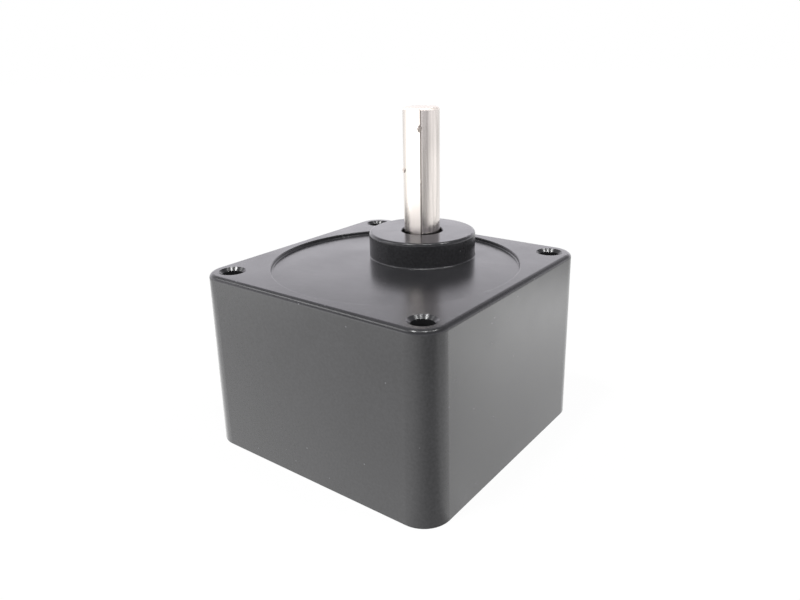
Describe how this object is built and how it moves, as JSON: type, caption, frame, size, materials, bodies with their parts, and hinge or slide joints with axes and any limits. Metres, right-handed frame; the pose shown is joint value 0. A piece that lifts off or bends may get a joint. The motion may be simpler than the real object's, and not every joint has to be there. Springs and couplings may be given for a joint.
{
  "type": "motor gearhead",
  "caption": "Square parallel-shaft reduction gearhead for a small motor, black die-cast case, round shaft boss set off centre and a steel output shaft with a flat.",
  "frame": {"origin": "middle of the rear face that the motor bolts to, on the motor's axis", "axes": "+Z along the output shaft out of the front face, +Y from the motor's axis towards the output shaft"},
  "size_m": [0.09, 0.09, 0.106],
  "materials": {
    "black_paint": "satin",
    "cast_aluminium": "satin",
    "ground_steel": "satin",
    "gear_steel": "satin",
    "bearing_steel": "polished",
    "plain_steel": "satin",
    "zinc_steel": "satin",
    "cage_nylon": "satin",
    "seal_rubber": "matte"
  },
  "bodies": {
    "housing": {"dowel_pins": "plain_steel", "first_front_bearing_outer": "bearing_steel", "first_rear_bearing_outer": "bearing_steel", "gear_case": "black_paint", "oil_seal": "seal_rubber", "output_front_bearing_outer": "bearing_steel", "output_rear_bearing_outer": "bearing_steel", "plate_screws": "zinc_steel", "preload_washers": "plain_steel", "rear_plate": "cast_aluminium", "seal_spring": "plain_steel", "second_front_bearing_outer": "bearing_steel", "second_rear_bearing_outer": "bearing_steel"},
    "output": {"output_shaft": "ground_steel", "output_gear": "gear_steel", "output_key": "plain_steel", "output_spacer": "plain_steel", "output_front_bearing_inner": "bearing_steel", "output_rear_bearing_inner": "bearing_steel"},
    "second": {"second_shaft": "gear_steel", "second_gear": "gear_steel", "second_spacer": "plain_steel", "second_front_bearing_inner": "bearing_steel", "second_rear_bearing_inner": "bearing_steel"},
    "first": {"first_shaft": "gear_steel", "first_gear": "gear_steel", "first_spacer": "plain_steel", "first_front_bearing_inner": "bearing_steel", "first_rear_bearing_inner": "bearing_steel"},
    "output_front_bearing_set": {"output_front_bearing_balls": "bearing_steel", "output_front_bearing_cage": "cage_nylon"},
    "output_rear_bearing_set": {"output_rear_bearing_balls": "bearing_steel", "output_rear_bearing_cage": "cage_nylon"},
    "first_front_bearing_set": {"first_front_bearing_balls": "bearing_steel", "first_front_bearing_cage": "cage_nylon"},
    "first_rear_bearing_set": {"first_rear_bearing_balls": "bearing_steel", "first_rear_bearing_cage": "cage_nylon"},
    "second_front_bearing_set": {"second_front_bearing_balls": "bearing_steel", "second_front_bearing_cage": "cage_nylon"},
    "second_rear_bearing_set": {"second_rear_bearing_balls": "bearing_steel", "second_rear_bearing_cage": "cage_nylon"}
  },
  "joints": [
    {"name": "output_spin", "type": "hinge", "parent": "housing", "child": "output", "pos_m": [0, 0.0152, 0], "axis": [0, 0, 1], "continuous": true},
    {"name": "second_spin", "type": "hinge", "parent": "housing", "child": "second", "pos_m": [-0.01575, -0.00421, 0], "axis": [0, 0, 1], "continuous": true},
    {"name": "first_spin", "type": "hinge", "parent": "housing", "child": "first", "pos_m": [0, -0.019, 0], "axis": [0, 0, 1], "continuous": true},
    {"name": "output_front_bearing_roll", "type": "hinge", "parent": "housing", "child": "output_front_bearing_set", "pos_m": [0, 0.0152, 0], "axis": [0, 0, 1], "continuous": true},
    {"name": "output_rear_bearing_roll", "type": "hinge", "parent": "housing", "child": "output_rear_bearing_set", "pos_m": [0, 0.0152, 0], "axis": [0, 0, 1], "continuous": true},
    {"name": "first_front_bearing_roll", "type": "hinge", "parent": "housing", "child": "first_front_bearing_set", "pos_m": [0, -0.019, 0], "axis": [0, 0, 1], "continuous": true},
    {"name": "first_rear_bearing_roll", "type": "hinge", "parent": "housing", "child": "first_rear_bearing_set", "pos_m": [0, -0.019, 0], "axis": [0, 0, 1], "continuous": true},
    {"name": "second_front_bearing_roll", "type": "hinge", "parent": "housing", "child": "second_front_bearing_set", "pos_m": [-0.01575, -0.00421, 0], "axis": [0, 0, 1], "continuous": true},
    {"name": "second_rear_bearing_roll", "type": "hinge", "parent": "housing", "child": "second_rear_bearing_set", "pos_m": [-0.01575, -0.00421, 0], "axis": [0, 0, 1], "continuous": true}
  ],
  "couplings": [
    {"joint": "second_spin", "follows": "output_spin", "ratio": -2.5714},
    {"joint": "first_spin", "follows": "output_spin", "ratio": 7.7143},
    {"joint": "output_front_bearing_roll", "follows": "output_spin", "ratio": 0.41628},
    {"joint": "output_rear_bearing_roll", "follows": "output_spin", "ratio": 0.40833},
    {"joint": "first_front_bearing_roll", "follows": "output_spin", "ratio": 2.9388},
    {"joint": "first_rear_bearing_roll", "follows": "output_spin", "ratio": 2.9388},
    {"joint": "second_front_bearing_roll", "follows": "output_spin", "ratio": -0.97959},
    {"joint": "second_rear_bearing_roll", "follows": "output_spin", "ratio": -0.97959}
  ]
}
